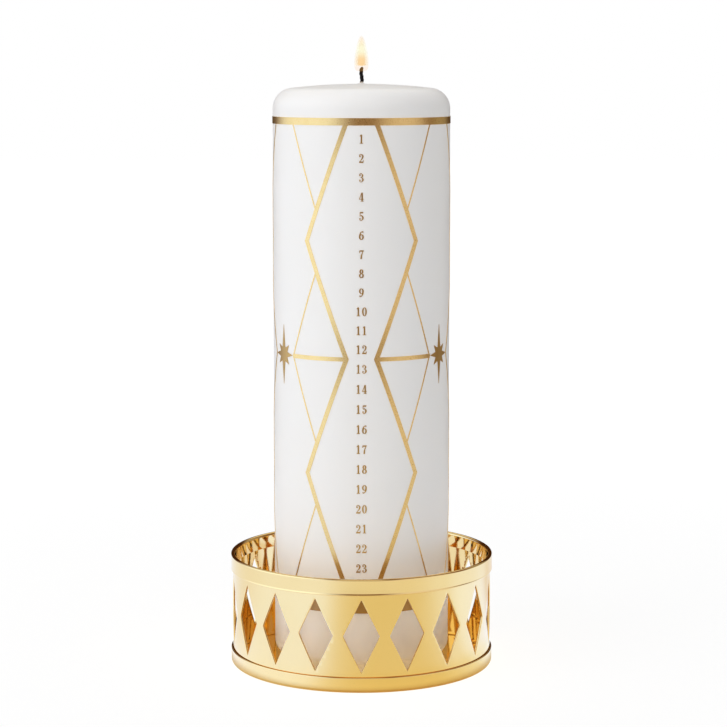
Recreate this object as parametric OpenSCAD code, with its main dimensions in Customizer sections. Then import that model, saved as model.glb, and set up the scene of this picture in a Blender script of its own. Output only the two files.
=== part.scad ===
// Calendar candle standing in a pierced metal tray.
// The candle is a pressed wax core with a dipped coat, a wick on a sustainer, and a
// gold lattice printed on its side. The tray is a spun dish, a gallery of lozenge
// windows that stands on its floor, and a hoop folded over the gallery's top edge.
// Sizes are millimetres and +Z is up. The origin is the centre of the tray's
// underside, and the front of the print faces -Y.

/* [Tray dish] */
// Thickness of the dish's flat floor
floor_t = 0.8; // [0.6:0.1:2]
// Height of the dish's upturned lip above the underside
lip_h = 5.3; // [3:0.1:6]
// Thickness of the upturned lip
lip_t = 0.5; // [0.4:0.1:1]
// Radius where the floor turns up into the lip
dish_edge_r = 1.2; // [0.6:0.1:2]

/* [Gallery] */
// Outside diameter of the pierced wall
gallery_d = 89.2; // [84:0.2:108]
// Thickness of the pierced wall
wall_t = 0.7; // [0.5:0.1:1.2]
// Number of lozenge windows round the wall
window_count = 18; // [12:1:20]
// Width of one window, along the wall
window_w = 12.1; // [8:0.1:13]
// Height of one window, from point to point
window_h = 24.5; // [15:0.5:25]

/* [Rim hoop] */
// Height of the whole tray, to the top of the hoop
tray_h = 38.4; // [37:0.2:60]
// Height of the hoop's outer side
hoop_out_h = 5.6; // [4:0.1:6.5]
// Height of the hoop's inner side
hoop_in_h = 5.1; // [3:0.1:6.5]
// Thickness of the hoop's sheet
hoop_t = 0.5; // [0.4:0.1:0.8]
// Clearance between the wall and the lip and hoop that hold it
seam_gap = 0.1; // [0.05:0.01:0.15]

/* [Candle] */
// Diameter of the candle
candle_d = 60; // [48:1:72]
// Height of the wax from the foot to the middle of the crown
candle_h = 198.2; // [150:1:250]
// Radius of the shallow dome on top
crown_r = 209; // [120:1:400]
// Radius of the shoulder between the crown and the side
shoulder_r = 7; // [4:0.5:9]
// Radius of the edge at the foot
foot_r = 3.5; // [2.5:0.5:6]
// Thickness of the dipped coat
coat_t = 2; // [1:0.1:2.4]
// Width of the flat ring on which the coat stands
coat_land = 2; // [1:0.5:4]

/* [Wick] */
// Diameter of the braided wick
wick_d = 1.5; // [1:0.1:3]
// Length of wick that stands out of the crown
wick_free = 5.7; // [3:0.1:12]
// Diameter of the sustainer's disc
sustainer_d = 20; // [12:1:30]
// Thickness of the sustainer's sheet
sustainer_t = 0.3; // [0.2:0.1:0.6]
// Height of the sustainer's neck above its disc
neck_h = 5; // [3:0.5:10]
// Height of the sustainer's disc above the foot of the wax
sustainer_rise = 0.3; // [0.1:0.1:1]
// Clearance round the wick and the sustainer in the wax
wax_gap = 0.05; // [0.02:0.01:0.15]

/* [Printed lattice] */
// Thickness of the printed foil
foil_t = 0.12; // [0.08:0.01:0.3]
// Thickness of the glue under the foil
glue_t = 0.02; // [0.01:0.01:0.05]
// Distance from the crown down to the upper band
upper_band_drop = 10.8; // [9.5:0.1:20]
// Height of the upper band
upper_band_h = 2.4; // [1:0.1:6]
// Height of the lower band's bottom edge above the foot
lower_band_z = 22.5; // [8:0.5:40]
// Height of the lower band
lower_band_h = 5.5; // [1:0.1:10]
// Width of the bold lines that frame the numbers
bold_w = 1.5; // [0.8:0.1:3]
// Width of the bold line that crosses at mid height
cross_w = 1.4; // [0.8:0.1:3]
// Width of the fine lines
fine_w = 0.45; // [0.3:0.05:1]
// Number of lozenge columns round the candle
column_count = 6; // [5:1:6]
// Half the angle between a column's lines where they are widest apart
spread_deg = 36.8; // [33:0.1:38]
// Half the angle between the bold lines where they are closest
bold_pinch_deg = 9.5; // [6:0.5:12]
// Half the angle between fine lines where they are closest
fine_pinch_deg = 11; // [9:0.5:14]
// Height of the highest pinch above the upper band's lower edge
pinch_over = 0.8; // [0.2:0.1:2]
// Height of the lowest pinch above the lower band
pinch_above = 2.6; // [1:0.1:8]
// Clearance where one printed line stops at another
print_gap = 0.05; // [0.03:0.01:0.2]

/* [Stars] */
// Height of one star
star_h = 20; // [10:1:30]
// Clearance between a star's side points and the fine lines
star_gap = 0.1; // [0.05:0.05:2]
// Reach of a star's slanting points
star_slant = 4.6; // [3.6:0.1:5]
// Radius at which a star's points meet
star_waist = 2.4; // [1.6:0.1:2.8]

/* [Flame] */
// Width of the flame where it is widest
flame_d = 4.4; // [3.8:0.1:8]
// Height of the flame
flame_h = 12.2; // [9:0.1:30]
// Height of the flame's foot above the crown
flame_rise = 4; // [1:0.1:4.5]
// Distance up the flame to its widest place, over its height
flame_belly = 0.44; // [0.35:0.01:0.55]
// How full the flame is at its two ends, where less is fuller
flame_taper = 0.8; // [0.5:0.05:1.2]
// Clearance between the flame and the wick
flame_gap = 0.15; // [0.1:0.05:0.3]

/* [Hidden] */
$fn = 96;

// Steps in a small rounded edge, in a shoulder and in the crown
edge_steps = 6;
shoulder_steps = 10;
crown_steps = 8;
flame_steps = 18;
// Long and short points of a star, taken together
star_points = 8;
// Overshoot of a cutting shape past the surface that it cuts
over = 1;

wall_r = gallery_d / 2;
lip_r = wall_r + seam_gap + lip_t;
hoop_r = wall_r + seam_gap + hoop_t;
// The hoop's section is a strip folded round a half circle at the top
fold_r = hoop_t + seam_gap + wall_t / 2;
fold_z = tray_h - fold_r;
fold_mid_r = hoop_r - fold_r;
hoop_foot_z = tray_h - hoop_out_h;
wall_top_z = fold_z - seam_gap;
// The windows are centred on the wall that shows between the lip and the hoop
window_z = (lip_h + hoop_foot_z) / 2;

candle_r = candle_d / 2;
foil_r = candle_r + glue_t;
wick_r = wick_d / 2;
neck_r = wick_r + wax_gap + sustainer_t;
crown_mid_z = candle_h - crown_r;
shoulder_z = crown_mid_z + sqrt(pow(crown_r - shoulder_r, 2) - pow(candle_r - shoulder_r, 2));
shoulder_deg = atan2(shoulder_z - crown_mid_z, candle_r - shoulder_r);

upper_band_z = candle_h - upper_band_drop - upper_band_h;
lower_band_top = lower_band_z + lower_band_h;
lowest_pinch_z = lower_band_top + pinch_above;
row_h = (upper_band_z + pinch_over - lowest_pinch_z) / 4;
mid_z = lowest_pinch_z + 2 * row_h;
column_deg = 360 / column_count;
// The cross line ends at the far edge of the fine line, and a star starts just beyond it
fine_edge = candle_r * sin(fine_pinch_deg) - level_half(fine_pinch_deg, fine_w);
cross_end_deg = column_deg - asin(fine_edge / candle_r);
star_reach = fine_edge - star_gap;

// Points of an arc from angle a0 to a1, in the plane of the section
function arc(mid, r, a0, a1, steps) =
    [for (i = [0:steps]) let (a = a0 + (a1 - a0) * i / steps) mid + r * [cos(a), sin(a)]];

// The dish: a flat floor that turns up into a short lip
module base_dish() {
    color("gold") rotate_extrude() polygon(concat(
        [[0, 0]],
        arc([lip_r - dish_edge_r, dish_edge_r], dish_edge_r, -90, 0, edge_steps),
        [[lip_r, lip_h], [lip_r - lip_t, lip_h], [lip_r - lip_t, floor_t], [0, floor_t]]));
}

// One window's cutter, a lozenge on the front of the wall
module window() {
    translate([0, over - wall_r + wall_t, window_z]) rotate([90, 0, 0])
        linear_extrude(wall_t + 2 * over)
            polygon([[window_w / 2, 0], [0, window_h / 2], [-window_w / 2, 0], [0, -window_h / 2]]);
}

// The pierced wall, which stands on the floor inside the lip
module gallery() {
    color("goldenrod") difference() {
        translate([0, 0, floor_t]) cylinder(r = wall_r, h = wall_top_z - floor_t);
        cylinder(r = wall_r - wall_t, h = tray_h);
        for (i = [0:window_count - 1]) rotate([0, 0, 360 / window_count * i]) window();
    }
}

// The hoop, folded over the wall's top edge and down both of its sides
module rim_hoop() {
    color("gold") rotate_extrude() polygon(concat(
        [[hoop_r - hoop_t, hoop_foot_z], [hoop_r, hoop_foot_z]],
        arc([fold_mid_r, fold_z], fold_r, 0, 180, 2 * edge_steps),
        [[fold_mid_r - fold_r, tray_h - hoop_in_h], [fold_mid_r - fold_r + hoop_t, tray_h - hoop_in_h]],
        arc([fold_mid_r, fold_z], fold_r - hoop_t, 180, 0, 2 * edge_steps)));
}

// Everything on the candle is drawn from its own foot and stands on the dish's floor
module on_floor() {
    translate([0, 0, floor_t]) children();
}

// The candle's outline, or the same outline drawn in by an even thickness
module wax_form(inset) {
    rotate_extrude() polygon(concat(
        [[0, inset]],
        arc([candle_r - foot_r, foot_r], foot_r - inset, -90, 0, edge_steps),
        arc([candle_r - shoulder_r, shoulder_z], shoulder_r - inset, 0, shoulder_deg, shoulder_steps),
        [for (i = [1:crown_steps])
            let (a = shoulder_deg + (90 - shoulder_deg) * i / crown_steps)
                [(crown_r - inset) * cos(a), crown_mid_z + (crown_r - inset) * sin(a)]]));
}

// The pressed core reaches the floor through the ring of the coat's foot
module core_form() {
    wax_form(coat_t);
    cylinder(r = candle_r - foot_r - coat_land, h = coat_t + foot_r);
}

module wax_core() {
    color("ivory") on_floor() difference() {
        core_form();
        translate([0, 0, -over]) cylinder(r = wick_r + wax_gap, h = candle_h + 2 * over);
        translate([0, 0, -over])
            cylinder(r = sustainer_d / 2 + wax_gap, h = over + sustainer_rise + sustainer_t + wax_gap);
        cylinder(r = neck_r + wax_gap, h = sustainer_rise + sustainer_t + neck_h + wax_gap);
    }
}

// The harder dipped coat, open at the foot where the core shows
module wax_coat() {
    color("white") on_floor() difference() {
        wax_form(0);
        core_form();
        translate([0, 0, candle_h / 2]) cylinder(r = wick_r + wax_gap, h = candle_h);
    }
}

// The wick runs from the sustainer's disc to above the crown, with a rounded tip
module wick() {
    wick_h = candle_h + wick_free - sustainer_rise - sustainer_t;
    color("dimgray") on_floor() translate([0, 0, sustainer_rise + sustainer_t])
        rotate_extrude() polygon(concat(
            [[0, 0], [wick_r, 0]],
            arc([0, wick_h - wick_r], wick_r, 0, 90, edge_steps)));
}

// The pressed sheet disc and neck that hold the wick's foot
module wick_sustainer() {
    color("silver") on_floor() translate([0, 0, sustainer_rise]) difference() {
        union() {
            cylinder(r = sustainer_d / 2, h = sustainer_t);
            cylinder(r = neck_r, h = sustainer_t + neck_h);
        }
        translate([0, 0, sustainer_t]) cylinder(r = wick_r + wax_gap, h = neck_h + over);
    }
}

// A foil sleeve on the candle's side, from z0 to z1 above the foot
module foil_sleeve(z0, z1) {
    translate([0, 0, z0]) difference() {
        cylinder(r = foil_r + foil_t, h = z1 - z0);
        translate([0, 0, -over]) cylinder(r = foil_r, h = z1 - z0 + 2 * over);
    }
}

module upper_band() {
    color("goldenrod") on_floor() foil_sleeve(upper_band_z, upper_band_z + upper_band_h);
}

module lower_band() {
    color("goldenrod") on_floor() foil_sleeve(lower_band_z, lower_band_top);
}

// Every line of a column runs straight from turn to turn, out to its spread and in to its
// pinch. Turn 0 is the lowest pinch, and turn -1 lies behind the lower band.
turns = [-1:4];
function turn_z(i) = lowest_pinch_z + i * row_h;
// Reach of a line to either side of the plane halfway between its pinch and its spread
function swing(pinch_deg) = candle_r * sin((spread_deg - pinch_deg) / 2);
function turn_x(pinch_deg, i) = swing(pinch_deg) * (i % 2 == 0 ? -1 : 1);
// Half a line's width, measured level instead of square to the line
function level_half(pinch_deg, w) = w / 2 * norm([2 * swing(pinch_deg), row_h]) / row_h;

// Turns an outline into a cutter that goes through the sleeve, on the right side of its
// column (side = 1) or the left side (side = -1), halfway between pinch and spread
module through_side(pinch_deg, side) {
    rotate([0, 0, side * (pinch_deg + spread_deg) / 2]) translate([0, -candle_r / 2, 0])
        rotate([90, 0, 0]) linear_extrude(candle_r) children();
}

// The cutter for one line of a column
module line_cutter(pinch_deg, side, w) {
    half = level_half(pinch_deg, w);
    through_side(pinch_deg, side) polygon(concat(
        [for (i = turns) [side * turn_x(pinch_deg, i) - half, turn_z(i)]],
        [for (i = turns) [side * turn_x(pinch_deg, 3 - i) + half, turn_z(3 - i)]]));
}

// The cutter for all that lies between the numbers and just past the bold line
module front_cutter(side) {
    edge = level_half(bold_pinch_deg, bold_w) + print_gap;
    inner = swing(bold_pinch_deg) + bold_w;
    through_side(bold_pinch_deg, side) polygon(concat(
        [for (i = turns) side * [turn_x(bold_pinch_deg, i) + edge, side * turn_z(i)]],
        [[-side * inner, turn_z(4)], [-side * inner, turn_z(-1)]]));
}

// The cutter for the bold line at mid height, from the bold pinch to end_deg
module cross_cutter(side, end_deg, grow) {
    translate([0, 0, mid_z - cross_w / 2 - grow]) linear_extrude(cross_w + 2 * grow)
        polygon(concat([[0, 0]], [for (a = [bold_pinch_deg, end_deg / 2, end_deg])
            candle_d * [side * sin(a), -cos(a)]]));
}

// A printed line as the part of the sleeve between the bands that its cutter leaves
module printed_line(pinch_deg, side, w) {
    intersection() {
        foil_sleeve(lower_band_top, upper_band_z);
        line_cutter(pinch_deg, side, w);
    }
}

// The bold frame on one side of the numbers, with its cross line
module bold_lines(side) {
    color("goldenrod") on_floor() intersection() {
        foil_sleeve(lower_band_top, upper_band_z);
        union() {
            line_cutter(bold_pinch_deg, side, bold_w);
            cross_cutter(side, cross_end_deg, 0);
        }
    }
}

module bold_lines_left() {
    bold_lines(-1);
}

module bold_lines_right() {
    bold_lines(1);
}

// The fine lattice on the sides and the back. Beside the numbers its lines stop at the bold
// frame. Where two columns cross, the second one's line is parted at the first one's.
module fine_lines() {
    color("goldenrod") on_floor() {
        for (side = [-1, 1]) difference() {
            rotate([0, 0, side * column_deg]) printed_line(fine_pinch_deg, -side, fine_w);
            front_cutter(side);
            cross_cutter(side, column_deg, print_gap);
        }
        for (k = [1:column_count - 2]) rotate([0, 0, k * column_deg]) {
            printed_line(fine_pinch_deg, 1, fine_w);
            difference() {
                rotate([0, 0, column_deg]) printed_line(fine_pinch_deg, -1, fine_w);
                line_cutter(fine_pinch_deg, 1, fine_w + 2 * print_gap);
            }
        }
    }
}

// One star, taller than it is wide, drawn on a flat sheet
module star() {
    reach = [star_reach, star_waist, star_slant, star_waist,
             star_h / 2, star_waist, star_slant, star_waist];
    step_deg = 180 / star_points;
    polygon([for (i = [0:2 * star_points - 1])
        reach[i % star_points] * [cos(i * step_deg), sin(i * step_deg)]]);
}

// A star stands in each pinch at mid height, except at the numbers
module stars() {
    color("darkgoldenrod") on_floor() intersection() {
        foil_sleeve(mid_z - star_h / 2 - over, mid_z + star_h / 2 + over);
        for (k = [1:column_count - 1]) rotate([0, 0, k * column_deg])
            translate([0, -candle_r / 2, mid_z]) rotate([90, 0, 0])
                linear_extrude(candle_r) star();
    }
}

// Radius of the flame at share t of its height
function flame_r(t) = flame_d / 2 * pow(sin(180 * pow(t, ln(0.5) / ln(flame_belly))), flame_taper);

// The flame round the wick's tip
module flame() {
    color("orange") on_floor() translate([0, 0, candle_h]) difference() {
        translate([0, 0, flame_rise]) rotate_extrude() polygon(concat(
            [[0, 0]],
            [for (i = [1:flame_steps - 1]) [flame_r(i / flame_steps), flame_h * i / flame_steps]],
            [[0, flame_h]]));
        cylinder(r = wick_r + flame_gap, h = wick_free + flame_gap);
    }
}

base_dish();
gallery();
rim_hoop();
wax_core();
wax_coat();
wick();
wick_sustainer();
upper_band();
lower_band();
bold_lines_left();
bold_lines_right();
fine_lines();
stars();
flame();
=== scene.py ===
# %% [markdown]
# # A calendar candle in a pierced gold tray
# A pillar candle, printed with a gold lattice and a column of day numbers, stands loose in a
# round tray of gold-plated sheet brass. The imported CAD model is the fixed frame: it says where
# every piece is. This lesson dresses it. First come the camera and the studio, then the
# finishes, and then the pieces, each one modelled as it could be made by hand.

# %% Load the fixed frame
from math import asin, atan2, cos, degrees, pi, radians, sin, sqrt

import bpy
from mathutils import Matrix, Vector


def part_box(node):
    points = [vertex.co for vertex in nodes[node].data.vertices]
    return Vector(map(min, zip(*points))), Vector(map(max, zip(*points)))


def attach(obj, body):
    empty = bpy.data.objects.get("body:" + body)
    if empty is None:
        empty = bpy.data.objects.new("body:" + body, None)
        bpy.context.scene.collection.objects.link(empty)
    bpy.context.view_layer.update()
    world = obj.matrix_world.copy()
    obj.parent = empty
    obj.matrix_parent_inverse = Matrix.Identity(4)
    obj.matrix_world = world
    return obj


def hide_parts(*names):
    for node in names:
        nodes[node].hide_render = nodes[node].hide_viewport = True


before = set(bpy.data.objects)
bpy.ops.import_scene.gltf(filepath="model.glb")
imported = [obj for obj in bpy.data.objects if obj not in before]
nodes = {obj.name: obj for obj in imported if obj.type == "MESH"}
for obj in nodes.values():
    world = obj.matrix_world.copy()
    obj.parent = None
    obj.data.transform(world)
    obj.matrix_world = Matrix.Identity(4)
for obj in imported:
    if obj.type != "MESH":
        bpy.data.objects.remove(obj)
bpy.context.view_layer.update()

scene = bpy.context.scene
scene.view_settings.view_transform = "Standard"
MM = 0.001

# %% [markdown]
# ## Real sizes
# Every size below is in millimetres and is read from the CAD nodes' boxes where they have it,
# so a piece that is modelled here meets the pieces that stay.

# %% Heights and radii of the candle and the tray
def top(node):
    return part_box(node)[1].z / MM


def foot(node):
    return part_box(node)[0].z / MM


def radius(node):
    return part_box(node)[1].x / MM


TRAY_R = radius("rim_hoop")
WALL_R = radius("gallery")
TRAY_TOP = top("rim_hoop")
FLOOR_Z = foot("gallery")
WALL_TOP = top("gallery")
HOOP_FOOT = foot("rim_hoop")
LIP_TOP = top("base_dish")
WAX_R = radius("wax_coat")
WAX_TOP = top("wax_coat")
WAX_FOOT = foot("wax_coat")
FOIL_R = radius("upper_band")
WICK_TIP = top("wick")
WICK_FOOT = foot("wick")
FLAME_FOOT = foot("flame")
FLAME_TIP = top("flame")
print("tray", round(2 * TRAY_R, 1), "mm wide and", round(TRAY_TOP, 1), "mm high")
print("candle", round(2 * WAX_R, 1), "mm wide and", round(WAX_TOP - WAX_FOOT, 1), "mm high")

# %% [markdown]
# ## Camera
# The photograph was taken with a long lens, at about the height of the wick and aimed a little
# down. A pinhole camera was fitted to the bands, the rims and the outlines, which gave its
# distance, height, tilt and focal length in pixels of the 727 pixel wide picture.

# %% Place the camera
PICTURE_PX = 727
FOCAL_PX = 2267.2
SENSOR_MM = 36.0
CAMERA_AT = Vector((0.0007, -0.7711, 0.2063))
CAMERA_DOWN = radians(7.576)

bpy.ops.object.camera_add(location=CAMERA_AT, rotation=(pi / 2 - CAMERA_DOWN, 0, 0))
camera = bpy.context.object
camera.name = "photo_camera"
camera.data.sensor_width = SENSOR_MM
camera.data.lens = FOCAL_PX / PICTURE_PX * SENSOR_MM
scene.camera = camera
print("camera with a", round(camera.data.lens, 1), "mm lens")

# %% [markdown]
# ## Helpers for finishes
# A colour is written as an sRGB hex value, as a colour picker shows it, and one function turns
# it to the linear numbers that the renderer works in. Another function adds a node, gives it
# its settings and links what feeds it.

# %% Turn a hex colour to linear
def colour(hex_code):
    """The linear colour of an sRGB hex value, with full cover."""
    parts = [int(hex_code[i:i + 2], 16) / 255 for i in (1, 3, 5)]
    return [c / 12.92 if c <= 0.04045 else ((c + 0.055) / 1.055) ** 2.4 for c in parts] + [1.0]


print("the sRGB grey #808080 is", round(colour("#808080")[0], 3), "in linear light")

# %% Add a node with its settings and links
def add(tree, kind, feeds=None, **settings):
    """Adds a node with its settings, and sets or links what feeds its sockets."""
    made = tree.nodes.new("ShaderNode" + kind)
    for name, value in settings.items():
        setattr(made, name, value)
    for socket, value in (feeds or {}).items():
        if isinstance(value, bpy.types.NodeSocket):
            tree.links.new(value, made.inputs[socket])
        else:
            made.inputs[socket].default_value = value
    return made


print("a socket is fed a number, a colour or what another node gives")

# %% Start a finish
def new_finish(name, **sockets):
    """A new finish, its node tree and its shader, with those sockets set."""
    finish = bpy.data.materials.new(name)
    finish.use_nodes = True
    shader = finish.node_tree.nodes["Principled BSDF"]
    for socket, value in sockets.items():
        shader.inputs[socket.replace("_", " ")].default_value = value
    print("finish", name)
    return finish, finish.node_tree, shader


print("each finish starts from a Principled BSDF")

# %% Patterns in real millimetres
NOISE_RANGE = (0.3, 0.7)


def lumps(tree, size_mm, detail=2.0, stretch=(1, 1, 1)):
    """A cloudy pattern whose lumps are about size_mm wide on the piece."""
    place = add(tree, "TexCoord").outputs["Object"]
    scaled = add(tree, "VectorMath", {0: place, 1: stretch}, operation="MULTIPLY")
    made = add(tree, "TexNoise", {"Vector": scaled.outputs[0], "Scale": 1 / (size_mm * MM),
                                  "Detail": detail})
    return made.outputs[0]


def above(tree, level_mm, over_mm):
    """Share that grows from 0 to 1 over over_mm of height, from level_mm up."""
    place = add(tree, "TexCoord").outputs["Object"]
    height = add(tree, "SeparateXYZ", {0: place}).outputs["Z"]
    return add(tree, "MapRange", {"Value": height, "From Min": level_mm * MM,
                                  "From Max": (level_mm + over_mm) * MM}).outputs[0]


print("most of a cloudy pattern lies from", NOISE_RANGE[0], "to", NOISE_RANGE[1])

# %% Lay colours one over the other
def layered(tree, start, *layers):
    """Lays colours over a start colour. Each layer is a share, a colour and, if need be, a mode."""
    for share, level, *mode in layers:
        start = add(tree, "Mix", {0: share, 6: start, 7: level}, data_type="RGBA",
                    blend_type=mode[0] if mode else "MIX").outputs[2]
    return start


print("a layer can also multiply or lighten what is below it")

# %% Give a finish its tone, its roughness and its relief
def tone(tree, shader, pattern, light, deep):
    """Colours a finish between two close hex tones that follow a pattern."""
    tint = layered(tree, colour(light), (pattern, colour(deep)))
    tree.links.new(tint, shader.inputs["Base Color"])


def roughen(tree, shader, pattern, low, high):
    """Lets the roughness follow a pattern from low to high."""
    level = add(tree, "MapRange", {"Value": pattern, "From Min": NOISE_RANGE[0],
                                   "From Max": NOISE_RANGE[1], "To Min": low, "To Max": high})
    tree.links.new(level.outputs[0], shader.inputs["Roughness"])


def emboss(tree, shader, pattern, depth_mm):
    """Gives a finish a relief of that real depth from a pattern."""
    bump = add(tree, "Bump", {"Height": pattern, "Distance": depth_mm * MM, "Strength": 1.0})
    tree.links.new(bump.outputs[0], shader.inputs["Normal"])


print("tone, roughness and relief can follow a pattern")

# %% [markdown]
# ## Studio
# The background is plain white. Polished metal has no colour of its own: it shows what stands
# round it. So the world is a studio for reflections: a bright cool wall on the left, a softer
# one on the right, pale panels high in front and behind, dark places overhead and low behind,
# and a dim warm room for the rest. For light that falls on matt surfaces the world is an even,
# plain white.

# %% Directions of the studio's walls
def facing(tree, way, axis, inner_deg, outer_deg):
    """Share of a patch in the studio: 1 within inner_deg of axis, 0 beyond outer_deg."""
    along = add(tree, "VectorMath", {0: way, 1: Vector(axis).normalized()}, operation="DOT_PRODUCT")
    return add(tree, "MapRange", {"Value": along.outputs["Value"],
                                  "From Min": cos(radians(outer_deg)),
                                  "From Max": cos(radians(inner_deg))},
               interpolation_type="SMOOTHSTEP").outputs[0]


def hang(tree, way, start, patches):
    """Lays patches of light or shade over a start colour, one over the other."""
    return layered(tree, start, *[
        (facing(tree, way, axis, inner_deg, outer_deg), level + [1.0])
        for axis, inner_deg, outer_deg, level in patches])


print("patches are hung by direction and by two angles in degrees")

# %% [markdown]
# Inside the tray metal mirrors metal. Gold plate tints each mirror image once more, and the
# real one goes from amber to brown there. Light Path counts how often a ray has bounced, so the
# second mirror image gets that tone. What the plate throws on the wax gets plain strong light.

# %% What metal shows of a wall or of the floor
BOUNCE_LIGHT = [3.3, 3.5, 4.3, 1.0]
AMBER = [0.88, 0.66, 0.32, 1.0]
BROWN = [0.55, 0.34, 0.17, 1.0]


def deeper_than(tree, rays, kind, bounces):
    """1 where a ray has bounced more often than that off surfaces of a kind."""
    depth = rays.outputs[kind + " Depth"]
    return add(tree, "Math", {0: depth, 1: bounces}, operation="GREATER_THAN").outputs[0]


def mirrored(tree, rays, shown):
    """Amber to brown where it was mirrored twice, and strong light where metal throws it on the wax."""
    thrown = deeper_than(tree, rays, "Diffuse", 0.5)
    twice = deeper_than(tree, rays, "Glossy", 1.5)
    return layered(tree, shown, (thrown, BOUNCE_LIGHT), (twice, AMBER, "MULTIPLY"),
                   (twice, BROWN, "LIGHTEN"))


def seen_straight(tree, rays):
    """1 for the camera and for what passes through."""
    return add(tree, "Math", {0: rays.outputs["Is Camera Ray"], 1: rays.outputs["Is Transmission Ray"]},
               operation="MAXIMUM").outputs[0]


print("second mirror images keep at least", BROWN[:3])

# %% The world: white to the camera, a studio to metal, even light to matt surfaces
WHITE = colour("#FFFFFF")
MATT_LIGHT = 0.63
DIM_ROOM = [0.26, 0.15, 0.09, 1.0]
STUDIO_WALLS = [
    ((0.0, 0.7, 1.0), 20, 40, [0.95, 0.85, 0.65]),
    ((-0.97, -0.26, 0.0), 24, 68, [1.25, 1.44, 1.8]),
    ((0.82, -0.57, 0.0), 8, 42, [0.86, 0.8, 0.8]),
    ((0.77, 0.64, 0.0), 14, 34, [0.42, 0.36, 0.26]),
    ((0.0, -1.0, 0.6), 14, 26, [1.05, 0.98, 0.85]),
    ((0.0, -0.25, 1.0), 14, 26, [0.14, 0.06, 0.02]),
    ((-0.34, 0.93, 0.12), 13, 26, [0.06, 0.02, 0.004]),
    ((0.34, 0.93, 0.12), 13, 26, [0.06, 0.02, 0.004]),
    ((0.0, 1.0, 0.10), 14, 28, [0.06, 0.02, 0.004]),
]

world = bpy.data.worlds.new("studio_world")
world.use_nodes = True
scene.world = world
tree = world.node_tree
tree.nodes.clear()
way = add(tree, "TexCoord").outputs["Generated"]
rays = add(tree, "LightPath")
studio = mirrored(tree, rays, hang(tree, way, DIM_ROOM, STUDIO_WALLS))
matt = add(tree, "Background", {"Color": WHITE, "Strength": MATT_LIGHT})
glossy = add(tree, "Background", {"Color": studio, "Strength": 1.0})
white = add(tree, "Background", {"Color": WHITE, "Strength": 1.0})
to_metal = rays.outputs["Is Glossy Ray"]
inner = add(tree, "MixShader", {0: to_metal, 1: matt.outputs[0], 2: glossy.outputs[0]})
outer = add(tree, "MixShader", {0: seen_straight(tree, rays), 1: inner.outputs[0], 2: white.outputs[0]})
add(tree, "OutputWorld", {"Surface": outer.outputs[0]})
print("studio world with", len(tree.nodes), "nodes")

# %% [markdown]
# One large soft lamp stands to the left, in front and a little above, and another one hangs
# overhead. Metal mirrors the studio's walls instead of the lamps.

# %% Hang the lamps
def soft_lamp(name, at, aim, size, level):
    """A square lamp of that size in metres. Its level is what a white wall facing it gets."""
    at, aim = Vector(at), Vector(aim)
    bpy.ops.object.light_add(type="AREA", location=at)
    lamp = bpy.context.object
    lamp.name = name
    lamp.rotation_euler = (aim - at).to_track_quat("-Z", "Y").to_euler()
    lamp.data.size = size
    lamp.data.energy = level * pi * pi * (aim - at).length_squared
    lamp.visible_glossy = False
    print(name, "of", round(lamp.data.energy, 2), "W")


CANDLE_MIDDLE = (0, 0, 0.12)
soft_lamp("key_lamp", (-1.15, -0.85, 0.45), CANDLE_MIDDLE, 0.9, 0.25)
soft_lamp("top_lamp", (-0.3, -0.2, 1.6), CANDLE_MIDDLE, 0.9, 0.30)

# %% [markdown]
# The floor is a sheet of white paper. To the camera it is mostly its own white, so that the
# background stays plain, and the rest of its shade is the soft shadow that keeps the tray
# standing on something. To metal the paper shows painted light: warm light in front of the tray
# and cool light at its sides, a painted glow of gold light close round the tray, paler on its
# left, and a painted brown shadow right at its foot. Far off, metal sees the studio's walls go on
# instead.

# %% Painted light and shadow on the paper and how far out they reach, in metres from the tray's axis
OWN_LIGHT = 1.02
OWN_NEAR = 0.80
OWN_GROWS = (0.1, 0.5)
FOOT_SHADE_ENDS = (0.045, 0.052)
GOLD_GLOW_ENDS = (0.056, 0.076)
STRONG_LIGHTS_END = (0.17, 0.23)
PAPER_ENDS = (0.28, 0.46)
PALE_HALF = 0.5
PAPER_PLAIN = [0.96, 1.0, 1.05, 1.0]
# Painted pools of light on the paper, as metal sees them: cool at the tray's sides and warm in front
PAINTED_LIGHTS_ON_PAPER = [
    ((-0.82, 0.57, 0), 20, 55, [0.96, 1.0, 1.1]),
    ((-0.875, -0.485, 0), 12, 50, [1.04, 1.2, 1.65]),
    ((0.64, 0.77, 0), 15, 45, [0.9, 0.84, 0.8]),
    ((0.98, 0.18, 0), 10, 32, [1.05, 1.22, 1.7]),
    ((0.326, -0.946, 0), 8, 50, [0.83, 0.72, 0.40]),
]
# Painted gold glow that the tray throws on the paper near it, paler on the tray's left side
PAINTED_GOLD_GLOW = [0.97, 0.93, 0.74, 1.0]
PAINTED_PALE_GLOW = [1.0, 1.0, 0.95]
PALE_GLOW_SIDE = (-0.9, -0.3, 0)
# Painted shadow on the paper right at the tray's foot, which metal shows as a dark line
FOOT_SHADE = [0.55, 0.38, 0.16, 1.0]
print("the paper has", len(PAINTED_LIGHTS_ON_PAPER), "tones that metal shows")

# %% Mix the paper
paper = bpy.data.materials.new("white_paper_sheet")
paper.use_nodes = True
tree = paper.node_tree
tree.nodes.clear()
rays = add(tree, "LightPath")
place = add(tree, "TexCoord").outputs["Object"]
away = add(tree, "VectorMath", {0: place}, operation="LENGTH").outputs["Value"]
way = add(tree, "VectorMath", {0: place}, operation="NORMALIZE").outputs[0]


def out_to(tree, away, ends):
    """Share that falls from 1 to 0 between two distances from the tray's axis."""
    return add(tree, "MapRange", {"Value": away, "From Min": ends[0], "From Max": ends[1],
                                  "To Min": 1.0, "To Max": 0.0},
               interpolation_type="SMOOTHSTEP").outputs[0]


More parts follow.
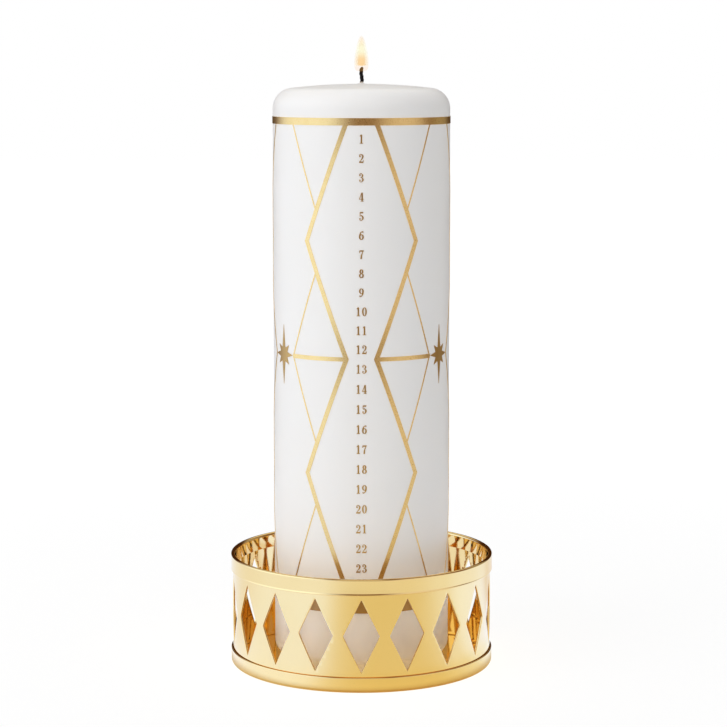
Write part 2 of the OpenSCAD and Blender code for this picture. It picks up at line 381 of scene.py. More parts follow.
shown = hang(tree, way, PAPER_PLAIN, PAINTED_LIGHTS_ON_PAPER)
paler = layered(tree, shown, (PALE_HALF, PAPER_PLAIN))
shown = layered(tree, paler, (out_to(tree, away, STRONG_LIGHTS_END), shown))
walls = hang(tree, way, DIM_ROOM, STUDIO_WALLS)
# Painted gold glow round the tray, paler on its left
painted_gold_glow = hang(tree, way, PAINTED_GOLD_GLOW, [(PALE_GLOW_SIDE, 30, 80, PAINTED_PALE_GLOW)])
# What metal sees of the paper: the painted lights, with the painted gold glow and the painted shadow at
# the tray's foot multiplied over them
shown = layered(
    tree, walls,
    (out_to(tree, away, PAPER_ENDS), shown),
    (out_to(tree, away, GOLD_GLOW_ENDS), painted_gold_glow, "MULTIPLY"),
    (out_to(tree, away, FOOT_SHADE_ENDS), FOOT_SHADE, "MULTIPLY"))
to_metal = rays.outputs["Is Glossy Ray"]
own_colour = layered(tree, WHITE, (to_metal, mirrored(tree, rays, shown)))
seen = add(tree, "Math", {0: seen_straight(tree, rays), 1: to_metal}, operation="MAXIMUM")
share = add(tree, "MapRange", {"Value": away, "From Min": OWN_GROWS[0], "From Max": OWN_GROWS[1],
                               "To Min": OWN_NEAR, "To Max": 1.0})
share = add(tree, "Math", {0: seen.outputs[0], 1: share.outputs[0]}, operation="MULTIPLY")
lit = add(tree, "BsdfDiffuse", {"Color": colour("#F4F4F4"), "Roughness": 0.3})
own = add(tree, "Emission", {"Color": own_colour, "Strength": OWN_LIGHT})
both = add(tree, "MixShader", {0: share.outputs[0], 1: lit.outputs[0], 2: own.outputs[0]})
add(tree, "OutputMaterial", {"Surface": both.outputs[0]})
print("the paper has", len(tree.nodes), "nodes")

# %% Lay the floor just under the tray
FLOOR_SIZE = 8
UNDER_TRAY = 0.05 * MM

bpy.ops.object.select_all(action="DESELECT")
bpy.ops.mesh.primitive_plane_add(size=FLOOR_SIZE, location=(0, 0, -UNDER_TRAY))
floor = bpy.context.object
floor.name = "paper_floor"
floor.data.materials.append(paper)
print("paper floor of", FLOOR_SIZE, "m laid")

# %% [markdown]
# ## Gold plate
# The tray is sheet brass, pressed and spun, then polished and plated with gold under a clear
# lacquer. Plate is a smooth metal: its colour is the tint of its mirror image. Sheet metal is
# never quite flat, so a very shallow, slow relief makes the mirror images flow. Its waves are
# about 9 mm wide and the faint clouds in its tone about 18 mm.

# %% Mix the gold plate
gold_plate, tree, shader = new_finish(
    "lacquered_gold_plate", Metallic=1.0, Coat_Weight=0.5, Coat_Roughness=0.04)
tone(tree, shader, lumps(tree, 18), "#F5DB9E", "#F2D592")
roughen(tree, shader, lumps(tree, 6), 0.035, 0.07)
emboss(tree, shader, lumps(tree, 9, 1.0, (1, 1, 0.5)), 0.035)

# %% [markdown]
# ## Transfer foil
# The lattice, the bands, the stars and the numbers are hot transfer foil: a film of metal,
# pressed on with its glue. It is satin, a little rough and a little deeper in colour than the
# tray. The upper band and the lattice are gold, the numbers browner and the stars bronze. The
# lower band is gold foil too, darker because the tray's shade is painted into it. The real
# grain of the glue is under 0.1 mm. It is drawn at 0.25 mm, so
# that a close view shows it.

# %% Mix the four foils
def transfer_foil(name, light, deep, rough):
    """Satin foil between two close tones, with the fine grain of its glue."""
    finish, tree, shader = new_finish(name, Metallic=1.0)
    tone(tree, shader, lumps(tree, 2.5), light, deep)
    grain = lumps(tree, 0.25, 1.0)
    roughen(tree, shader, grain, rough - 0.04, rough + 0.04)
    emboss(tree, shader, grain, 0.004)
    return finish


gold_foil = transfer_foil("satin_gold_foil", "#E9CB8C", "#DDBB78", 0.30)
bronze_foil = transfer_foil("satin_bronze_foil", "#C9A468", "#B58F52", 0.34)
# A darker copy of the gold foil, with the tray's shade on the lower band painted in
gold_foil_painted_shade = transfer_foil("satin_gold_foil_painted_shade", "#B48A56", "#A47A46", 0.34)
brown_foil = transfer_foil("satin_brown_gold_foil", "#D2B070", "#C4A05C", 0.34)

# %% [markdown]
# ## Wax
# The coat is hard white candle wax, dipped in a thin even layer, which dries to a satin skin.
# Light goes a little way into it. Dipping leaves slow waves in the skin, about 7 mm wide. The
# core inside is pressed from paraffin beads, which leave a grain of about 0.8 mm.

# %% Mix the two waxes
def candle_wax(name, light, shade, rough, grain_mm, depth_mm, glow):
    """Wax between two close tones. Its glow is the share of light that goes a little way in."""
    finish, tree, shader = new_finish(name, IOR=1.44, Subsurface_Weight=glow,
                                      Subsurface_Radius=(1.0, 0.92, 0.84), Subsurface_Scale=0.0012)
    tone(tree, shader, lumps(tree, 30), light, shade)
    grain = lumps(tree, grain_mm)
    roughen(tree, shader, grain, rough - 0.05, rough + 0.05)
    emboss(tree, shader, grain, depth_mm)
    return finish


dipped_wax = candle_wax("dipped_candle_wax", "#F1F0EF", "#EFEEED", 0.42, 7, 0.01, 0.2)
pressed_paraffin = candle_wax("pressed_paraffin", "#EFE9DA", "#E6DFCE", 0.6, 0.8, 0.05, 0.1)

# %% [markdown]
# ## Small metal and cotton
# The sustainer is tin plate with the faint streaks of its rolling. The wick is braided cotton:
# soaked with wax at its foot and burnt to black char above. Just below its tip the ember's
# glow is painted in as brown, and the tip is black again. Real rolling streaks and cotton fibres
# are a few hundredths of a millimetre
# wide. The streaks are drawn at 0.6 mm and the fibres at 0.15 mm, so that they show.

# %% Mix the tin plate
tin_plate, tree, shader = new_finish("rolled_tin_plate", Metallic=1.0)
streaks = lumps(tree, 0.6, 3.0, (1, 0.05, 1))
tone(tree, shader, streaks, "#D2D2CF", "#B9BAB8")
roughen(tree, shader, streaks, 0.28, 0.42)

# %% Mix the burnt cotton
CHAR_FROM = WAX_TOP + 0.35
# Painted glow of the ember: brown just below the wick's tip
EMBER_GLOW_FROM = WICK_TIP - 2.2
BLACK_FROM = WICK_TIP - 0.7

burnt_cotton, tree, shader = new_finish(
    "burnt_braided_cotton", Sheen_Weight=0.02, Specular_IOR_Level=0.15)
fibres = lumps(tree, 0.15, 3.0)
char = layered(tree, colour("#060508"), (fibres, colour("#1C1614")))
tint = layered(
    tree, colour("#E9D9C6"),
    (above(tree, CHAR_FROM, 0.5), char),
    (above(tree, EMBER_GLOW_FROM, 1.1), colour("#3A260F")),
    (above(tree, BLACK_FROM, 0.5), colour("#120A04")))
tree.links.new(tint, shader.inputs["Base Color"])
roughen(tree, shader, fibres, 0.55, 0.9)
emboss(tree, shader, fibres, 0.05)

# %% [markdown]
# ## Flame
# A flame is glowing soot in hot gas, so it has light and no surface. Nested thin shells stand
# in for it: each one glows and lets most of the light behind it through, so the flame is faint
# at its edge and full in the middle, from every side. It is peach at the tip, pale yellow in
# the middle, orange-peach above the wick and deeper orange round the wick's tip.

# %% Mix the flame
CORE_SHARES = (0.24, 0.6)
SKIRT_ENDS = WICK_TIP - 0.1
PALE_FROM = FLAME_FOOT + 3.4
PEACH_FROM = FLAME_FOOT + 7.4

flame_glow, tree, shader = new_finish("glowing_flame", Roughness=1.0, Specular_IOR_Level=0.0,
                                      Emission_Strength=1.0)
glow_share = add(tree, "Attribute", attribute_name="glow_share").outputs["Fac"]
core = add(tree, "MapRange", {"Value": glow_share, "From Min": CORE_SHARES[0],
                              "From Max": CORE_SHARES[1]}).outputs[0]
ember = layered(tree, colour("#FEE5BC"), (core, colour("#FDC268")))
tint = layered(
    tree, colour("#FDBE66"),
    (above(tree, SKIRT_ENDS, 0.7), ember),
    (above(tree, PALE_FROM, 2.5), colour("#FFFAD8")),
    (above(tree, PEACH_FROM, 3.2), colour("#FDE2BC")))
tree.links.new(tint, shader.inputs["Emission Color"])
shader.inputs["Base Color"].default_value = colour("#000000")
tree.links.new(glow_share, shader.inputs["Alpha"])

# %% [markdown]
# ## Helpers for modelling
# Most pieces here are turned: a profile is drawn on one side of the axis and spun round it, as
# on a lathe. The spin can leave faces inside out, so doubles are merged and the normals are
# recalculated.

# %% Start from an empty selection
def deselect():
    """Back to object mode, with nothing selected."""
    if bpy.context.object and bpy.context.object.mode != "OBJECT":
        bpy.ops.object.mode_set(mode="OBJECT")
    bpy.ops.object.select_all(action="DESELECT")


def take_up(piece):
    """Selects one piece alone, ready for an operator."""
    deselect()
    piece.select_set(True)
    bpy.context.view_layer.objects.active = piece


deselect()
print(len(bpy.context.selected_objects), "objects are selected")

# %% Draw lines, arcs and turned pieces
CREASE_DEG = 35


def arc(mid, r, start_deg, end_deg, steps):
    """Points of an arc in the plane of a profile, in millimetres."""
    turns = [radians(start_deg + (end_deg - start_deg) * i / steps) for i in range(steps + 1)]
    return [(mid[0] + r * cos(a), mid[1] + r * sin(a)) for a in turns]


def draw(name, points, closed):
    """Draws a line through points that are given as (x, z) in millimetres."""
    mesh = bpy.data.meshes.new(name)
    count = len(points)
    edges = [(i, (i + 1) % count) for i in range(count if closed else count - 1)]
    mesh.from_pydata([(x * MM, 0, z * MM) for x, z in points], edges, [])
    piece = bpy.data.objects.new(name, mesh)
    scene.collection.objects.link(piece)
    take_up(piece)
    return piece


def tidy_mesh():
    """Merges doubles and turns all faces outwards, in edit mode."""
    bpy.ops.mesh.select_all(action="SELECT")
    bpy.ops.mesh.remove_doubles(threshold=0.002 * MM)
    bpy.ops.mesh.normals_make_consistent(inside=False)


def turn(name, profile, closed=True, steps=240, crease_deg=CREASE_DEG):
    """Spins a profile round the upright axis and smooths it up to its sharp edges."""
    piece = draw(name, profile, closed)
    bpy.ops.object.mode_set(mode="EDIT")
    bpy.ops.mesh.select_all(action="SELECT")
    bpy.ops.mesh.spin(steps=steps, angle=2 * pi, center=(0, 0, 0), axis=(0, 0, 1))
    tidy_mesh()
    bpy.ops.object.mode_set(mode="OBJECT")
    bpy.ops.object.shade_smooth_by_angle(angle=radians(crease_deg))
    return piece


print("edges over", CREASE_DEG, "degrees stay sharp")

# %% Finish a piece
def seat(piece, body, finish, slot, *stands_for):
    """Gives a piece its finish, its body and the CAD nodes that it stands for. Its slot is not used."""
    piece.data.materials.clear()
    piece.data.materials.append(finish)
    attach(piece, body)
    if stands_for:
        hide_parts(*stands_for)
    print(piece.name, "has", len(piece.data.polygons), "faces and rides on", body)


# %% [markdown]
# ## Dish
# The dish is spun from one disc: a flat floor, a small round edge and a short upright lip. Its
# top edge is dressed round and flares a little, so that it catches a line of light and leaves
# a dark seam along the wall.

# %% Turn the dish
FLOOR_RINGS = (0, 20, 36)
EDGE_R = 1.2
INNER_EDGE_R = 0.4
LIP_T = 0.5
BEAD_R = 0.32
BEAD_TURN_DEG = 112
BEAD_EASE_OUT = 0.7
BEAD_EASE_IN = 0.5
FLARE = 0.08

lip_in = TRAY_R - LIP_T
bead_z = LIP_TOP - BEAD_R
dish_profile = (
    [(r, 0) for r in FLOOR_RINGS]
    + arc((TRAY_R - EDGE_R, EDGE_R), EDGE_R, -90, 0, 10)
    + [(TRAY_R, bead_z - BEAD_EASE_OUT)]
    + arc((TRAY_R + FLARE - BEAD_R, bead_z), BEAD_R, 0, BEAD_TURN_DEG, 10)
    + [(lip_in, bead_z - BEAD_EASE_IN), (lip_in, FLOOR_Z + INNER_EDGE_R)]
    + arc((lip_in - INNER_EDGE_R, FLOOR_Z + INNER_EDGE_R), INNER_EDGE_R, 0, -90, 4)
    + [(r, FLOOR_Z) for r in reversed(FLOOR_RINGS)])
seat(turn("spun_dish", dish_profile, closed=False), "holder", gold_plate, "gold_plate", "base_dish")

# %% [markdown]
# ## Gallery
# The wall is a strip of sheet, pierced flat with lozenges and then rolled to a ring. It is
# modelled the same way. One bay is a grid that four bisecting cuts divide along the window's
# sides. The faces inside go, the bay is copied in a row, and the row is rolled up in code. At
# last the sheet gets its thickness, and its cut edges are polished round.

# %% Cut one bay with its window
BAYS = 18
WINDOW_W = 12.1
WINDOW_H = 24.5
WALL_T = 0.7
BAY_GRID = (12, 28)

bay_w = 2 * pi * WALL_R / BAYS
wall_h = WALL_TOP - FLOOR_Z
window_z = (LIP_TOP + HOOP_FOOT) / 2
half_w = WALL_R * asin(WINDOW_W / 2 / WALL_R)
half_h = WINDOW_H / 2

deselect()
bpy.ops.mesh.primitive_grid_add(x_subdivisions=BAY_GRID[0], y_subdivisions=BAY_GRID[1], size=1)
bay = bpy.context.object
bay.name = "pierced_gallery"
for corner in bay.data.vertices:
    x, y, _ = corner.co
    corner.co = (x * bay_w * MM, 0, ((y + 0.5) * wall_h + FLOOR_Z) * MM)

bpy.ops.object.mode_set(mode="EDIT")
for right in (1, -1):
    for up in (1, -1):
        bpy.ops.mesh.select_all(action="DESELECT")
        bpy.ops.object.mode_set(mode="OBJECT")
        for face in bay.data.polygons:
            middle = face.center / MM
            face.select = middle.x * right > 0 and (middle.z - window_z) * up > 0
        bpy.ops.object.mode_set(mode="EDIT")
        side = Vector((right * half_h, 0, up * half_w)).normalized()
        bpy.ops.mesh.bisect(plane_co=(right * half_w * MM, 0, window_z * MM), plane_no=side)
print("one bay is", round(bay_w, 2), "mm wide and", round(wall_h, 2), "mm high")

# %% Take the window out and copy the bay round
bpy.ops.mesh.select_all(action="DESELECT")
bpy.ops.object.mode_set(mode="OBJECT")
for face in bay.data.polygons:
    middle = face.center / MM
    face.select = abs(middle.x) / half_w + abs(middle.z - window_z) / half_h < 1
bpy.ops.object.mode_set(mode="EDIT")
bpy.ops.mesh.delete(type="FACE")
bpy.ops.object.mode_set(mode="OBJECT")
row = bay.modifiers.new("row_of_bays", "ARRAY")
row.count = BAYS
row.use_relative_offset = False
row.use_constant_offset = True
row.constant_offset_displace = (bay_w * MM, 0, 0)
bpy.ops.object.modifier_apply(modifier=row.name)
print("one bay copied to", BAYS, "with", len(bay.data.polygons), "faces")

# %% Roll the strip up and thicken it
POLISH_W = 0.15
POLISH_FROM_DEG = 50

for corner in bay.data.vertices:
    x, _, z = corner.co
    a = x / MM / WALL_R
    corner.co = (WALL_R * MM * sin(a), -WALL_R * MM * cos(a), z)
bpy.ops.object.mode_set(mode="EDIT")
tidy_mesh()
bpy.ops.object.mode_set(mode="OBJECT")
sheet = bay.modifiers.new("sheet_thickness", "SOLIDIFY")
sheet.thickness = WALL_T * MM
sheet.offset = -1
bpy.ops.object.modifier_apply(modifier=sheet.name)
polish = bay.modifiers.new("polished_edges", "BEVEL")
polish.width = POLISH_W * MM
polish.segments = 2
polish.angle_limit = radians(POLISH_FROM_DEG)
bpy.ops.object.modifier_apply(modifier=polish.name)
bpy.ops.object.shade_smooth_by_angle(angle=radians(CREASE_DEG))
seat(bay, "holder", gold_plate, "gold_plate", "gallery")

# %% [markdown]
# ## Rim hoop
# A narrow strip is folded over the wall's top edge. The fold is tight outside and rolls more
# softly inside, where a thin leaf lies close along the wall. Its two long edges are dressed
# round, the outer one with a slight curl.

# %% Turn the hoop
HOOP_T = 0.5
INNER_LEAF_T = 0.2
HOOP_IN_H = 5.1
SEAM = 0.05
EDGE_ROUND = 0.24
CURL = 0.07
CURL_END = (0.01, 0.75)
CORNER_R = 0.6
ROLL_H = 0.9

wall_in = WALL_R - WALL_T
hoop_in = wall_in - SEAM - INNER_LEAF_T
gap_r = (TRAY_R - HOOP_T - hoop_in - INNER_LEAF_T) / 2
gap_mid = (hoop_in + INNER_LEAF_T + gap_r, WALL_TOP)
hoop_in_foot = TRAY_TOP - HOOP_IN_H
roll_w = TRAY_R - CORNER_R - hoop_in
quarter = arc((0, 0), 1, 90, 0, 20)[1:]
roll = [(hoop_in + roll_w * (1 - x), TRAY_TOP - ROLL_H * (1 - z)) for x, z in quarter]
leaf_r = INNER_LEAF_T / 2
hoop_profile = (
    arc((TRAY_R + CURL - EDGE_ROUND, HOOP_FOOT + EDGE_ROUND), EDGE_ROUND, -90, 20, 7)
    + [(TRAY_R + CURL_END[0], HOOP_FOOT + CURL_END[1])]
    + arc((TRAY_R - CORNER_R, TRAY_TOP - CORNER_R), CORNER_R, 0, 90, 12)
    + roll
    + arc((hoop_in + leaf_r, hoop_in_foot + leaf_r), leaf_r, 180, 360, 6)
    + arc(gap_mid, gap_r, 180, 0, 12)
    + [(TRAY_R - HOOP_T, HOOP_FOOT)])
seat(turn("folded_rim_hoop", hoop_profile), "holder", gold_plate, "gold_plate", "rim_hoop")

# %% [markdown]
# ## Wax coat
# The candle's coat is a shell. Its foot eases in above a small round edge, its side is
# straight, its shoulder soft and its crown shallow. Where the wick comes out, wax has drawn up
# round it in a small collar.

# %% Turn the coat
COAT_T = 2.0
FOOT_R = 3.5
FOOT_EDGE_R = 1.2
FOOT_EDGE_AT = 25.375
FOOT_EASE_R = 4.0
FOOT_EASE_Z = 7.5
FOOT_DEG = -37
SIDE_RINGS = (30, 60, 90, 120, 150, 175)
SHOULDER_R = 7.0
CROWN_R = 209.0
LAND = 2.0
WICK_HOLE_R = 0.72
COLLAR_R = 2.6
COLLAR_LINE = [(1.9, -0.01), (1.3, 0.05), (0.9, 0.18), (WICK_HOLE_R, 0.34)]

crown_mid = WAX_TOP - CROWN_R
shoulder_z = crown_mid + sqrt((CROWN_R - SHOULDER_R) ** 2 - (WAX_R - SHOULDER_R) ** 2)
shoulder_deg = degrees(atan2(shoulder_z - crown_mid, WAX_R - SHOULDER_R))
collar = [(r, WAX_TOP + up) for r, up in COLLAR_LINE]


def crown(inset, stop_r):
    """The crown's line from the shoulder in to stop_r."""
    r = CROWN_R - inset
    return arc((0, crown_mid), r, shoulder_deg, 90 - degrees(asin(stop_r / r)), 24)


foot_mid = (WAX_R - FOOT_R, WAX_FOOT + FOOT_R)
shoulder_mid = (WAX_R - SHOULDER_R, shoulder_z)
land_in = WAX_R - FOOT_R - LAND
coat_profile = (
    [(land_in, WAX_FOOT)]
    + arc((FOOT_EDGE_AT, WAX_FOOT + FOOT_EDGE_R), FOOT_EDGE_R, -90, FOOT_DEG, 6)
    + arc((WAX_R - FOOT_EASE_R, FOOT_EASE_Z), FOOT_EASE_R, FOOT_DEG, 0, 8)
    + [(WAX_R, WAX_FOOT + h) for h in SIDE_RINGS]
    + arc(shoulder_mid, SHOULDER_R, 0, shoulder_deg, 18)
    + crown(0, COLLAR_R)[1:]
    + collar
    + crown(COAT_T, WICK_HOLE_R)[::-1]
    + arc(shoulder_mid, SHOULDER_R - COAT_T, shoulder_deg, 0, 8)[1:]
    + arc(foot_mid, FOOT_R - COAT_T, 0, -90, 5)
    + [(land_in, WAX_FOOT + COAT_T)])
seat(turn("dipped_wax_coat", coat_profile), "candle", dipped_wax, "dipped_wax", "wax_coat")

# %% [markdown]
# ## Wick
# Three strands are laid round each other. A small disc is added for each strand, and the three
# are extruded together in short steps, each one lifted and turned a little, up to the wick's
# whole length. The free end is then drawn in at its tip and leans a little, as a burnt wick
# does.

# %% Wind the wick
STRANDS = 3
STRAND_R = 0.42
STRAND_OUT = 0.27
LAY_MM = 4.2
LAY_STEPS = 14

deselect()
discs = []
for k in range(STRANDS):
    a = 2 * pi * k / STRANDS
    at = (STRAND_OUT * MM * cos(a), STRAND_OUT * MM * sin(a), WICK_FOOT * MM)
    bpy.ops.mesh.primitive_circle_add(vertices=10, radius=STRAND_R * MM, fill_type="NGON", location=at)
    discs.append(bpy.context.object)
for disc in discs:
    disc.select_set(True)
bpy.ops.object.join()
wick = bpy.context.object
wick.name = "braided_wick"
bpy.ops.object.transform_apply(location=True)
laid_turns = (WICK_TIP - WICK_FOOT) / LAY_MM
wick_steps = round(laid_turns * LAY_STEPS)
step_h = (WICK_TIP - WICK_FOOT) * MM / wick_steps
step_turn = -2 * pi * laid_turns / wick_steps
bpy.ops.object.mode_set(mode="EDIT")
bpy.ops.mesh.select_all(action="SELECT")
for _ in range(wick_steps):
    bpy.ops.mesh.extrude_region_move(TRANSFORM_OT_translate={"value": (0, 0, step_h)})
    bpy.ops.transform.rotate(value=step_turn, orient_axis="Z", center_override=(0, 0, 0))
tidy_mesh()
bpy.ops.object.mode_set(mode="OBJECT")
print(STRANDS, "strands wound", round(laid_turns, 1), "times round")

# %% Lean the free end and round its tip
TIP_ROUND = 0.9
TIP_SLIM = 0.04
SWAY = 0.16
SWAY_WAVE = 2.2
LEAN = 0.1
STRAND_CREASE_DEG = 50

for corner in wick.data.vertices:
    x, y, z = corner.co / MM
    up = max(0.0, z - WAX_TOP) / (WICK_TIP - WAX_TOP)
    near_tip = max(0.0, z - (WICK_TIP - TIP_ROUND)) / TIP_ROUND
    slim = sqrt(max(TIP_SLIM, 1 - near_tip ** 2))
    lean = SWAY * sin(SWAY_WAVE * pi * up) + LEAN * up
    corner.co = ((x * slim + lean) * MM, y * slim * MM, z * MM)
bpy.ops.object.shade_smooth_by_angle(angle=radians(STRAND_CREASE_DEG))
seat(wick, "candle", burnt_cotton, "wick_cotton", "wick")

# %% [markdown]
# ## Flame shells
# Each shell is turned from the same outline, drawn in towards the flame's heart, and its
# points carry its share of glow. The outer shell hangs down round the wick's tip. The inner
# ones close just above it, each a little higher than the last.

# %% The outline of a shell
SHELLS = [(1.0, 0.12), (0.9, 0.16), (0.78, 0.22), (0.64, 0.3), (0.48, 0.55), (0.3, 0.8)]
FLAME_R = 2.45
HEART = 0.25
SKIRT_H = 0.8
OVER_WICK = 0.1
STAGGER = 0.6
OUTLINE_STEPS = 36
LOW_BELLY = 0.5
ROUND_ENDS = 0.5
HEIGHT_KEPT = 0.5

flame_low = FLAME_FOOT - SKIRT_H


def drawn_in(t, size):
    """Height of the outline's point at share t. A small shell keeps at least half its height."""
    share = HEIGHT_KEPT + (1 - HEIGHT_KEPT) * size
    return flame_low + (HEART + (t - HEART) * share) * (FLAME_TIP - flame_low)


def flame_outline(size):
    """The flame's outline at that share of its size, from the axis below to the axis above."""
    start_z = flame_low if size == 1 else WICK_TIP + OVER_WICK + STAGGER * (1 - size)
    line = [(0, start_z)]
    for i in range(1, OUTLINE_STEPS):
        t = i / OUTLINE_STEPS
        wide = sin(pi * t ** LOW_BELLY) ** ROUND_ENDS
        if drawn_in(t, size) > start_z:
            line.append((FLAME_R * size * wide, drawn_in(t, size)))
    return line + [(0, drawn_in(1, size))]


print("the flame hangs", round(WICK_TIP - flame_low, 1), "mm down round the wick's tip")

# %% Turn the shells of the flame
shells = []
for size, share in SHELLS:
    shell = turn("flame_shell", flame_outline(size), closed=False, steps=40, crease_deg=180)
    glow = shell.data.attributes.new("glow_share", "FLOAT", "POINT")
    glow.data.foreach_set("value", [share] * len(shell.data.vertices))
    shells.append(shell)
deselect()
for shell in shells:
    shell.select_set(True)
bpy.context.view_layer.objects.active = shells[0]
bpy.ops.object.join()
flame = bpy.context.object
flame.name = "soft_flame"
seat(flame, "candle", flame_glow, "flame", "flame")

# %% [markdown]
# ## Day numbers
# The numbers from 1 to 24 are printed in a bold face with thick stems, thin joins and small
# round ends. No font is read: each figure is drawn with a broad pen. A pen line is given by
# points with the pen's width at each, a bowl by two ovals, and a bar by its corners. Each part
# is filled and thickened to the foil's thickness, and the parts of a figure are united.

# %% Draw with a broad pen
FIGURE_H = 2.9
FIGURE_MID = 0.88
ADVANCE = 2.02
FOIL_T = 0.12
THICK = 0.5
THIN = 0.2
OVAL_STEPS = 28


def smooth_line(points, per_part=5):
    """Points of a smooth line through the given ones, each with its third number."""
    padded = [points[0]] + list(points) + [points[-1]]
    line = []
    for i in range(len(points) - 1):
        a, b, c, d = (Vector(p) for p in padded[i:i + 4])
        for k in range(per_part):
            t = k / per_part
            line.append(0.5 * (2 * b + (c - a) * t + (2 * a - 5 * b + 4 * c - d) * t ** 2
                               + (3 * b - a - 3 * c + d) * t ** 3))
    return line + [Vector(points[-1])]


def pen(*points):
    """Outline of a pen line through (x, z, width) points."""
    line = smooth_line(points)
    left, right = [], []
    for i, p in enumerate(line):
        way = line[min(i + 1, len(line) - 1)] - line[max(i - 1, 0)]
        across = Vector((-way.y, way.x)).normalized() * p.z / 2
        left.append((p.x + across.x, p.y + across.y))
        right.append((p.x - across.x, p.y - across.y))
    return [left + right[::-1]]


def oval(x, z, half_x, half_z):
    """Outline of an oval round (x, z)."""
    turns = [2 * pi * i / OVAL_STEPS for i in range(OVAL_STEPS)]
    return [(x + half_x * cos(a), z + half_z * sin(a)) for a in turns]


def bowl(x, z, half_x, half_z):
    """Outlines of a bowl: thick at its sides and thin above and below."""
    return [oval(x, z, half_x, half_z), oval(x, z, half_x - THICK, half_z - THIN)]


def ball(x, z, r=0.25):
    """Outline of a small round end."""
    return [oval(x, z, r, r)]


def bar(*corners):
    """Outline with straight sides."""
    return [list(corners)]


print("figures are", FIGURE_H, "mm high and", ADVANCE, "mm apart")

# %% The ten figures
six = [bowl(0.88, 0.93, 0.8, 0.93),
       pen((0.33, 0.9, 0.44), (0.36, 1.5, 0.44), (0.62, 2.25, 0.34), (1.0, 2.68, 0.2), (1.36, 2.8, 0.14)),
       ball(1.34, 2.58, 0.22)]
FIGURES = {
    "0": [bowl(0.88, 1.45, 0.8, 1.45)],
    "1": [bar((0.64, 0.1), (1.12, 0.1), (1.12, 2.9), (0.64, 2.9)),
          bar((0.3, 0), (1.46, 0), (1.46, 0.15), (1.1, 0.26), (0.66, 0.26), (0.3, 0.15)),
          bar((0.7, 2.9), (1.0, 2.9), (0.7, 2.42), (0.3, 2.3), (0.3, 2.44))],
    "2": [ball(0.42, 2.13, 0.27),
          pen((0.22, 2.12, 0.16), (0.42, 2.66, 0.2), (0.86, 2.8, 0.2), (1.36, 2.2, 0.5), (1.1, 1.4, 0.34),
              (0.6, 0.8, 0.2), (0.22, 0.2, 0.2)),
          bar((0.12, 0), (1.5, 0), (1.68, 0.85), (1.52, 0.85), (1.36, 0.46), (0.4, 0.46), (0.12, 0.2))],
    "3": [ball(0.4, 2.28),
          pen((0.22, 2.3, 0.14), (0.44, 2.7, 0.18), (0.88, 2.8, 0.2), (1.3, 2.2, 0.46), (0.98, 1.66, 0.24),
              (0.6, 1.54, 0.16)),
          pen((0.6, 1.56, 0.16), (1.08, 1.42, 0.22), (1.42, 0.82, 0.52), (0.96, 0.12, 0.22),
              (0.46, 0.16, 0.18), (0.22, 0.6, 0.14)),
          ball(0.4, 0.62)],
    "4": [bar((0.92, 2.9), (1.12, 2.9), (0.34, 0.84), (0.1, 0.84)),
          bar((0.1, 0.66), (1.66, 0.66), (1.66, 0.86), (0.1, 0.86)),
          bar((0.9, 0.1), (1.36, 0.1), (1.36, 2.9), (0.9, 2.9)),
          bar((0.64, 0), (1.6, 0), (1.6, 0.16), (0.64, 0.16))],
    "5": [bar((0.36, 2.84), (1.4, 2.84), (1.54, 2.96), (1.42, 2.4), (0.36, 2.4)),
          bar((0.34, 1.4), (0.5, 1.4), (0.5, 2.7), (0.34, 2.7)),
          pen((0.4, 1.42, 0.16), (0.86, 1.74, 0.22), (1.4, 0.98, 0.52), (0.98, 0.14, 0.22),
              (0.46, 0.16, 0.18), (0.22, 0.6, 0.14)),
          ball(0.4, 0.6)],
    "6": six,
    "7": [bar((0.16, 2.0), (0.32, 2.0), (0.46, 2.42), (1.5, 2.42), (1.64, 2.86), (0.24, 2.86)),
          pen((1.52, 2.66, 0.2), (1.08, 1.7, 0.28), (0.86, 0.9, 0.44), (0.8, 0.0, 0.52))],
    "8": [bowl(0.88, 2.17, 0.66, 0.73), bowl(0.88, 0.8, 0.8, 0.8)],
    "9": [[[(2 * FIGURE_MID - x, FIGURE_H - z) for x, z in outline] for outline in part] for part in six],
}
print(len(FIGURES), "figures drawn")

# %% Fill and thicken the parts of a figure, and unite them
def foil_part(outlines):
    """One part of a figure as a thin solid. Two outlines make a ring."""
    part = draw("figure_part", outlines[0], True)
    if len(outlines) == 2:
        draw("figure_part_inside", outlines[1], True)
        part.select_set(True)
        bpy.context.view_layer.objects.active = part
        bpy.ops.object.join()
    bpy.ops.object.mode_set(mode="EDIT")
    bpy.ops.mesh.select_all(action="SELECT")
    if len(outlines) == 2:
        bpy.ops.mesh.bridge_edge_loops()
    else:
        bpy.ops.mesh.edge_face_add()
    bpy.ops.mesh.select_all(action="SELECT")
    bpy.ops.mesh.extrude_region_move(TRANSFORM_OT_translate={"value": (0, -FOIL_T * MM, 0)})
    tidy_mesh()
    bpy.ops.object.mode_set(mode="OBJECT")
    return part


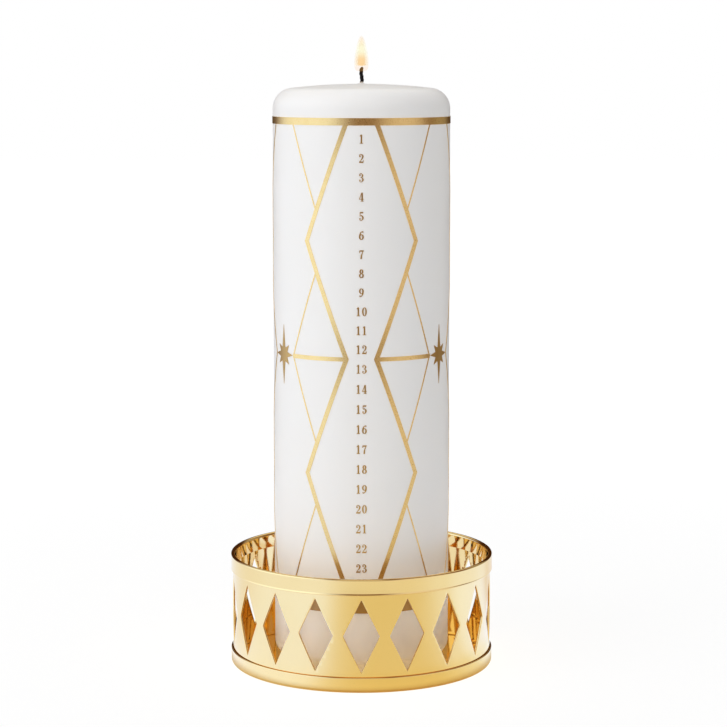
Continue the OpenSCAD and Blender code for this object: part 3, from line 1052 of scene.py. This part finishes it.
def figure_mesh(parts):
    """Unites the parts and returns the mesh."""
    whole = foil_part(parts[0])
    for outlines in parts[1:]:
        more = foil_part(outlines)
        take_up(whole)
        unite = whole.modifiers.new("unite", "BOOLEAN")
        unite.operation = "UNION"
        unite.solver = "EXACT"
        unite.object = more
        bpy.ops.object.modifier_apply(modifier=unite.name)
        bpy.data.objects.remove(more)
    mesh = whole.data
    bpy.data.objects.remove(whole)
    return mesh


FIGURE_MESHES = {figure: figure_mesh(parts) for figure, parts in FIGURES.items()}
print("figure 8 has", len(FIGURE_MESHES["8"].polygons), "faces")

# %% [markdown]
# The column runs down the front. The upper twelve days stand a little closer than the lower
# twelve. Each figure's points are moved from the flat sheet to the candle's round side.

# %% Print the numbers on the candle
DAYS = 24
UPPER_DAYS = 12
FIRST_Z = 181.4
UPPER_PITCH = 6.28
LOWER_FIRST_Z = 105.8
LOWER_PITCH = 6.71


def row_z(day):
    """Height of the middle of a day's row."""
    if day <= UPPER_DAYS:
        return FIRST_Z - (day - 1) * UPPER_PITCH
    return LOWER_FIRST_Z - (day - UPPER_DAYS - 1) * LOWER_PITCH


figures = []
for day in range(1, DAYS + 1):
    text = str(day)
    for place, figure in enumerate(text):
        printed = bpy.data.objects.new("day_figure", FIGURE_MESHES[figure].copy())
        scene.collection.objects.link(printed)
        shift = (place - (len(text) - 1) / 2) * ADVANCE - FIGURE_MID
        for corner in printed.data.vertices:
            x, y, z = corner.co / MM
            r = FOIL_R - FOIL_T - y
            a = (x + shift) / FOIL_R
            corner.co = (r * MM * sin(a), -r * MM * cos(a), (z - FIGURE_H / 2 + row_z(day)) * MM)
        figures.append(printed)
deselect()
for printed in figures:
    printed.select_set(True)
bpy.context.view_layer.objects.active = figures[0]
bpy.ops.object.join()
numbers = bpy.context.object
numbers.name = "day_numbers"
seat(numbers, "candle", brown_foil, "gold_foil")

# %% [markdown]
# ## The pieces that stay
# The bands, the lattice and the stars are exact in the CAD model, so they stay and only get
# their finish, and so do the core and the sustainer inside the candle.

# %% Give the CAD nodes their finishes
# The lower band gets the gold foil with the tray's shade painted in
FINISHES = {
    "upper_band": gold_foil, "lower_band": gold_foil_painted_shade, "bold_lines_left": gold_foil,
    "bold_lines_right": gold_foil, "fine_lines": gold_foil, "stars": bronze_foil,
    "wax_core": pressed_paraffin, "wick_sustainer": tin_plate,
}
for name, finish in FINISHES.items():
    for place in nodes[name].material_slots:
        place.material = finish
print(len(FINISHES), "CAD nodes given a finish")
